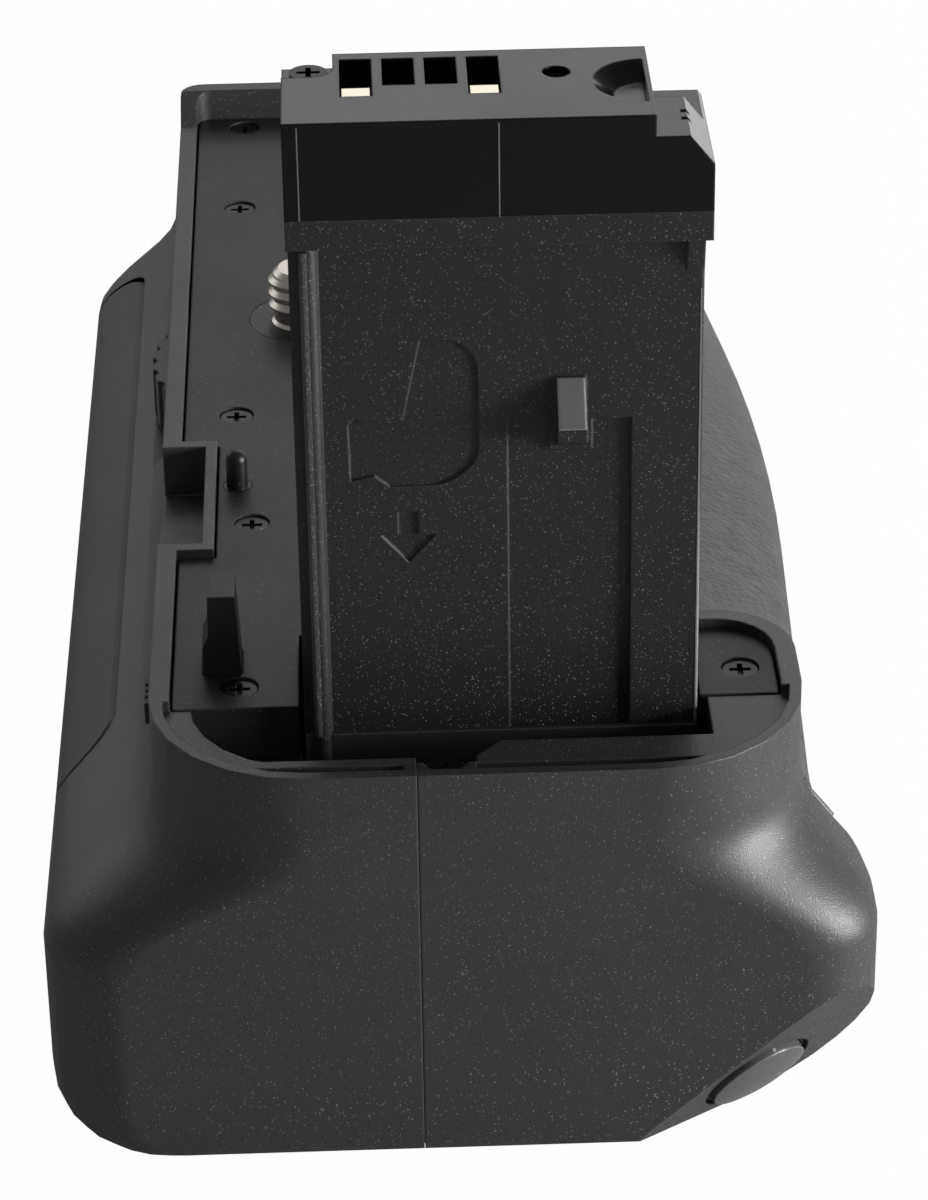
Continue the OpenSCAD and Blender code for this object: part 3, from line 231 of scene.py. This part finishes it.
shell_finish = moulded("textured_shell", (0.037, 0.037, 0.039), rough=0.4, gloss=0.45, glint_share=0.018,
                       glint=3.0, edge_highlight=1.5)
smoothed(shell_finish, "rear_shell", "front_shell", "base_plate")
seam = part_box("rear_shell")[1].y
lip_behind, lip_depth = 0.0001, 0.00025
lip_outline = ((0.0820, -0.03698), (0.0826, -0.03698), (0.0832, -0.0365), (0.0834, -0.0355),
               (0.0820, -0.0355))
lip = bmesh.new()
drawn_out(lip, [(along, seam - lip_behind, height) for along, height in lip_outline],
          (0, lip_depth, 0))
added(lip, "seam_lip", shell_finish, "front_shell")

# Grip skins: a thin panel bonded in the rear wall and a soft rubber pad wrapped on the front,
# each let into its own recess. The rubber is pebbled and mottled.
panel_finish = moulded("panel", (0.044, 0.043, 0.042), glint_share=0.015, glint=1.2)
smoothed(panel_finish, "rear_grip_panel")
rubber_finish = moulded("grip_rubber", (0.058, 0.058, 0.059), rough=0.55, cell=1500, glint_share=0.0,
                        drift=1.4, patch=500, relief=0.00012)
smoothed(rubber_finish, "front_grip_rubber")

# Chassis, dial bracket and boards: an inner frame moulded in plain black that carries the deck, the
# magazine rails and the switches. One circuit board is screwed under its near end, and a small
# one sits under the tower's head.
frame_finish = moulded("inner_frame", (0.022, 0.022, 0.023), glint_share=0.0)
smoothed(frame_finish, "chassis", "dial_bracket")
board_finish = moulded("circuit_board", (0.02, 0.09, 0.05), rough=0.35, cell=1500, glint_share=0.05,
                       glint=1.5, relief=0.00001)
smoothed(board_finish, "main_board", "terminal_board")

# Deck and corner plate: flat satin plastic plates that drop inside the rim and close the top.
# The camera's base rests on them.
deck_finish = moulded("deck", (0.021, 0.021, 0.021), rough=0.45, gloss=0.26, cell=6000, glint_share=0.01,
                      glint=1.5, relief=0.00001)
smoothed(deck_finish, "deck_plate", "corner_plate")

# Screws: crosshead machine screws with a black finish, in the deck and its corner plate, in the
# end wall and in the tower's head.
screw_finish = moulded("black_screw", (0.006, 0.006, 0.006), rough=0.4, gloss=0.35, cell=3000,
                       glint_share=0.03, glint=2.0, relief=0.00001, round_off=0.00012)
smoothed(screw_finish, "deck_screws", "end_screw", "tower_cap_screw")


# Camera screw and wheel: a quarter-inch stud turned in steel and nickel plated, with its thread
# rolled on. The knurled black wheel is pressed on its tail, and a collar keeps the screw from
# lifting out.
def turned(name, tint, rough, line=6000, patch=400):
    """Bright metal off a lathe: fine lines round the axis and small changes of polish."""
    along_axis, bite, depth, round_off = (0.05, 0.05, 1), 0.3, 0.00001, 0.0001
    drift, patchy = 0.3, 0.2
    finish, shader, place = surface(name, Metallic=1.0)
    lines = place.node("ShaderNodeTexNoise", inputs={
        "Vector": place.stretched(along_axis), "Scale": line, "Detail": 2})
    cloud = place.node("ShaderNodeTexNoise", inputs={"Vector": place, "Scale": patch, "Detail": 3})
    edge = place.node("ShaderNodeBevel", {"samples": 6}, {"Radius": round_off})
    skin = place.node("ShaderNodeBump", inputs={
        "Strength": bite, "Distance": depth, "Height": lines, "Normal": edge})
    tone = 1 - drift / 2 + drift * cloud
    return coated(finish, shader, tone.tinted(tint), rough + patchy * (cloud - 0.5), skin)


def revolved(work, outline, steps=64):
    """Turns an outline of (radius, height) points, in metres, about the upright axis."""
    rim = [work.verts.new((radius, 0, height)) for radius, height in outline]
    sides = [work.edges.new(pair) for pair in zip(rim, rim[1:])]
    bmesh.ops.spin(work, geom=rim + sides, axis=(0, 0, 1), cent=(0, 0, 0),
                   angle=math.tau, steps=steps, use_merge=True)
    bmesh.ops.remove_doubles(work, verts=work.verts, dist=1e-7)


def threaded(work, core, crest, low, high, pitch=0.00127, sunk=0.00005, steps=40):
    """Winds a ridge of the thread from low to high, its foot sunk in the core."""
    foot = core - sunk
    ridge = [work.verts.new((radius, 0, low + height * pitch)) for radius, height in
             ((foot, 0.02), (core, 0.08), (crest, 0.44), (crest, 0.56), (core, 0.92), (foot, 0.98))]
    sides = [work.edges.new(pair) for pair in zip(ridge, ridge[1:])]
    turns = (high - low) / pitch - 1
    count = round(steps * turns)
    bmesh.ops.spin(work, geom=ridge + sides, axis=(0, 0, 1), cent=(0, 0, 0),
                   angle=math.tau * turns, steps=count, dvec=(0, 0, pitch * turns / count))


steel_finish = turned("bright_steel", (0.55, 0.51, 0.46), 0.34)
screw_low, screw_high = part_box("mount_screw")
tail, neck, collar, core, crest, tip = 0.002, 0.0029, 0.0055, 0.0026, 0.0031, 0.0021
shoulder, collar_low, collar_high = -0.0092, -0.0042, -0.0032
run_out, lead_in = 0.0003, 0.005
stud = bmesh.new()
revolved(stud, (
    (0, screw_low.z), (tail, screw_low.z), (tail, shoulder), (neck, shoulder), (neck, collar_low),
    (collar, collar_low), (collar, collar_high), (neck, collar_high), (neck, 0), (core, run_out),
    (core, lead_in), (tip, screw_high.z), (0, screw_high.z)))
threaded(stud, core, crest, low=0.0001, high=0.0053)
placed(stud, "camera_stud", steel_finish, "mount_screw")
wheel_finish = moulded("knurl_black", (0.018, 0.018, 0.019), rough=0.42, cell=5000, glint_share=0.01)
smoothed(wheel_finish, "thumbwheel")

# Bushes: turned rings, a blackened one that lines the camera screw's hole in the deck and a brass
# one pressed in the floor for a tripod's screw, left plain inside.
smoothed(screw_finish, "screw_bush")
brass_finish = turned("brass_bush", (0.55, 0.42, 0.2), 0.3)
smoothed(brass_finish, "tripod_bush")

# Locating pin and door post: a turned pin that finds the hole beside the camera's socket, and a
# black post that holds down the camera's battery-door switch.
smoothed(screw_finish, "locating_pin")
smoothed(frame_finish, "door_switch_post")


# Tower trunk: the plug that goes in the camera's battery chamber, moulded in plain black. Its hook
# is drawn out to a steep slope, the corners of the battery sign sunk in its near face are rounded,
# and so is its corner on the lens side.
def rounded(work, edges, radius, segments):
    """Rounds edges of a worked mesh off to a radius."""
    bmesh.ops.bevel(work, geom=edges, offset=radius, segments=segments, profile=0.5,
                    affect="EDGES")


tower_finish = moulded("tower_plastic", (0.018, 0.018, 0.019), rough=0.4, gloss=0.35, cell=11000,
                       glint_share=0.022, glint=6.0)
trunk = merged("tower_body")
hook_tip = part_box("tower_body")[1].x
hook_middle, lift_below, lift_above, hook_reach = 0.0247, 0.0017, 0.0021, 0.0008
nearby = 0.0001
for vert in trunk.verts:
    if vert.co.x > hook_tip - nearby:
        vert.co.z += lift_below if vert.co.z < hook_middle else lift_above
        vert.co.x += hook_reach
bmesh.ops.dissolve_limit(trunk, angle_limit=math.radians(0.5), verts=trunk.verts,
                         edges=trunk.edges)
same_spot, sign_depth, sign_round = 0.00002, 0.0003, 0.00105
sign_corners = ((0.0134, 0.0338), (0.0147, 0.0320), (0.0147, 0.0232), (0.0122, 0.0211))
sign_edges = [edge for edge in trunk.edges if edge.calc_length() < sign_depth and all(
    min(abs(vert.co.y - across) + abs(vert.co.z - height) for across, height in sign_corners)
    < same_spot for vert in edge.verts)]
rounded(trunk, sign_edges, sign_round, segments=5)
corner_x, corner_y, corner_round = 0.0733, 0.0324, 0.00035
corner_edges = [edge for edge in trunk.edges if all(
    abs(vert.co.x - corner_x) + abs(vert.co.y - corner_y) < same_spot for vert in edge.verts)]
rounded(trunk, corner_edges, corner_round, segments=4)
placed(trunk, "tower_body_skin", tower_finish, "tower_body")

# Tower head: a glossy black cap screwed on the trunk. The slides of its mould left two fine ridges
# down the near face, painted pale as the highlight they catch.
head_finish = moulded("glossy_head", (0.004, 0.0036, 0.0036), rough=0.2, gloss=0.25,
                      glint_share=0.0, relief=0.000004)
smoothed(head_finish, "tower_cap")
cap_low, cap_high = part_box("tower_cap")
line_section = ((-0.00007, -0.00001), (-0.00004, 0.00005), (0.00004, 0.00005), (0.00007, -0.00001))
line_stop = 0.0003
lit_mould_lines = bmesh.new()
for across in (0.00115, 0.0165):
    drawn_out(lit_mould_lines, [(cap_high.x + out, across + side, cap_low.z) for side, out in line_section],
              (0, 0, cap_high.z - cap_low.z - line_stop))
# Painted highlight: the strips are pale to stand in for the light on the ridges.
highlight_strip_finish = moulded("painted_highlight_strip", (0.045, 0.045, 0.046), rough=0.4, cell=11000, glint_share=0.08)
added(lit_mould_lines, "mould_line_highlights", highlight_strip_finish, "tower_cap")

# Painted highlights and shade: the hook's slope and the trunk's two near corners are painted pale
# where they catch the light, as thin skins on the trunk. A black band painted as shade stands in
# the gap at its foot.
bright_highlight_finish = moulded("painted_bright_highlight", (0.13, 0.13, 0.13), rough=0.35, glint_share=0.0, relief=0.000004)
tower_foot, skin_depth = -0.0017, 0.00005
hook_left, hook_right = 0.0209, 0.0231
slope_top, slope_crown, slope_nose, slope_foot = 0.07352, 0.0304, 0.07627, 0.0272
highlight_skins = bmesh.new()
drawn_out(highlight_skins, [
    (slope_top, hook_left, slope_crown), (slope_top, hook_right, slope_crown),
    (slope_nose, hook_right, slope_foot), (slope_nose, hook_left, slope_foot)],
    (skin_depth, 0, skin_depth))
# Painted highlight: a pale strip round the trunk's rounded corner on the lens side.
strip_out, strip_in, strip_rise = 0.00039, 0.0003, 0.0395
strip_section = [(strip_out, angle) for angle in (10, 25, 40, 55)]
strip_section += [(strip_in, 55), (strip_in, 10)]
drawn_out(highlight_skins, [(corner_x - corner_round + reach * math.cos(math.radians(angle)),
                  corner_y - corner_round + reach * math.sin(math.radians(angle)), tower_foot)
                 for reach, angle in strip_section], (0, 0, strip_rise))
added(highlight_skins, "hook_and_corner_highlights", bright_highlight_finish, "tower_body")
# Painted highlight: a pale strip down the rounded rib at the trunk's left edge, where it catches
# the light.
ridge_x, ridge_y, ridge_rise = 0.07406, 0.0014, 0.0437
ridge_section = ((-0.0004, -0.00012), (-0.0002, 0.00005), (0.0002, 0.00005), (0.0004, -0.00006))
ridge = bmesh.new()
drawn_out(ridge, [(ridge_x + out, ridge_y + side, tower_foot) for side, out in ridge_section],
          (0, 0, ridge_rise))
added(ridge, "ridge_highlight", highlight_strip_finish, "tower_body")
# Painted shade: a thin black band stands before the trunk's foot, where shade falls.
shade_back, shade_front, shade_low = 0.0732, 0.0737, -0.0051
shade_start, shade_length = 0.0002, 0.0321
foot_shade = bmesh.new()
drawn_out(foot_shade, [
    (shade_back, shade_start, shade_low), (shade_front, shade_start, shade_low),
    (shade_front, shade_start, tower_foot), (shade_back, shade_start, tower_foot)],
    (0, shade_length, 0))
added(foot_shade, "tower_foot_shade", frame_finish, "tower_body")

# Contacts and ribbon: gold-plated springs in the head's windows, on the magazine and at the inner
# end of its bay. A ribbon of amber film wires the head's contacts down the tower.
gold_finish = turned("contact_gold", (0.72, 0.67, 0.55), 0.3)
smoothed(gold_finish, "terminal_contacts", "tray_contacts", "bay_contacts")
ribbon_finish = moulded("ribbon_film", (0.25, 0.1, 0.02), rough=0.3, cell=1200, glint_share=0.0,
                        relief=0.000004)
smoothed(ribbon_finish, "tower_ribbon")

# Buttons and switches: a domed black shutter button in a cup set square to the chamfered corner,
# two thumb buttons in the rear wall and a power slide under the rim.
# Each works a small switch behind it.
# Painted reflection: the buttons' black is lightened to stand in for the white room they reflect.
button_sheen_finish = moulded("button_black", (0.075, 0.075, 0.078), rough=0.2, gloss=0.6, cell=3000,
                        glint_share=0.004, relief=0.000004)
smoothed(button_sheen_finish, "shutter_button", "lock_button", "point_button")
smoothed(frame_finish, "shutter_cup", "power_knob")
switch_finish = moulded("switch_case", (0.05, 0.05, 0.055), rough=0.5, glint_share=0.0)
smoothed(switch_finish, "shutter_switch", "power_switch", "thumb_switches")

# Main dial: a knurled black wheel that stands out of a slot in the lobe.
# It turns on a steel axle held by its bracket.
smoothed(wheel_finish, "main_dial")
smoothed(steel_finish, "dial_axle")

# Battery magazine: a tray with two bays that slides out of the far end, with a textured cover
# and a quarter-turn key that moves a steel tongue behind the shells.
smoothed(frame_finish, "magazine_tray")
smoothed(shell_finish, "magazine_cover")
smoothed(wheel_finish, "latch_key")
smoothed(steel_finish, "latch_tongue")


# Table and lights: a white table that fades into a white room, with large lights behind and to the
# left, a white card low at the back and a smaller light close to the lens side.
def camera_ray(tree):
    """One where the camera sees the surface itself, nought for the light it sends on."""
    return Shade(tree, tree.nodes.new("ShaderNodeLightPath").outputs["Is Camera Ray"])


table_gap, table_glow, room_fill = 0.0002, 0.99, 0.22
table = bpy.data.objects.new("table", bpy.data.meshes.new("table"))
sheet = bmesh.new()
bmesh.ops.create_grid(sheet, x_segments=1, y_segments=1, size=4)
bmesh.ops.translate(sheet, verts=sheet.verts, vec=(0, 0, cad_box[0][2] - table_gap))
sheet.to_mesh(table.data)
sheet.free()
table_finish = bpy.data.materials.new("table_white")
table_finish.use_nodes = True
tree = table_finish.node_tree
paper = tree.nodes["Principled BSDF"]
paper.inputs["Base Color"].default_value = (0.5, 0.5, 0.5, 1)
paper.inputs["Roughness"].default_value = 0.9
seen = camera_ray(tree)
glow = seen.node("ShaderNodeEmission", inputs={"Color": (1, 1, 1, 1), "Strength": 1.0})
mixed = seen.node("ShaderNodeMixShader", inputs={
    0: seen * table_glow, 1: Shade(tree, paper.outputs["BSDF"]), 2: glow})
tree.links.new(mixed.socket, tree.nodes["Material Output"].inputs["Surface"])
table.data.materials.append(table_finish)
bpy.context.scene.collection.objects.link(table)

room = bpy.data.worlds.new("white_room")
room.use_nodes = True
bpy.context.scene.world = room
sky = room.node_tree.nodes["Background"]
brightness = room_fill + (1 - room_fill) * camera_ray(room.node_tree)
room.node_tree.links.new(brightness.socket, sky.inputs["Strength"])
sky.inputs["Color"].default_value = (1, 1, 1, 1)


def softbox(name, place, aim, width, height, power):
    """A rectangular light on a stand, turned to face a point."""
    lamp = bpy.data.lights.new(name, "AREA")
    lamp.shape = "RECTANGLE"
    lamp.size = width
    lamp.size_y = height
    lamp.energy = power
    stand = bpy.data.objects.new(name, lamp)
    stand.matrix_world = Matrix.Translation(place) @ (
        Vector(aim) - Vector(place)).to_track_quat("-Z", "Y").to_matrix().to_4x4()
    bpy.context.scene.collection.objects.link(stand)


softbox("back_light", place=(-0.7, 0.1, 0.55), aim=(0.02, 0, 0),
        width=0.7, height=0.5, power=1.6)
softbox("left_light", place=(-0.6, -0.6, 0.35), aim=(0, 0, 0),
        width=0.5, height=0.5, power=1.0)
softbox("back_card", place=(-0.3, 0.2, 0), aim=(0.07, 0.03, 0.04),
        width=0.3, height=0.25, power=0.35)
softbox("right_light", place=(0.2, 0.42, 0.05), aim=(0.07, 0.03, -0.01),
        width=0.18, height=0.14, power=3.3)

bpy.context.scene.view_settings.view_transform = "Standard"
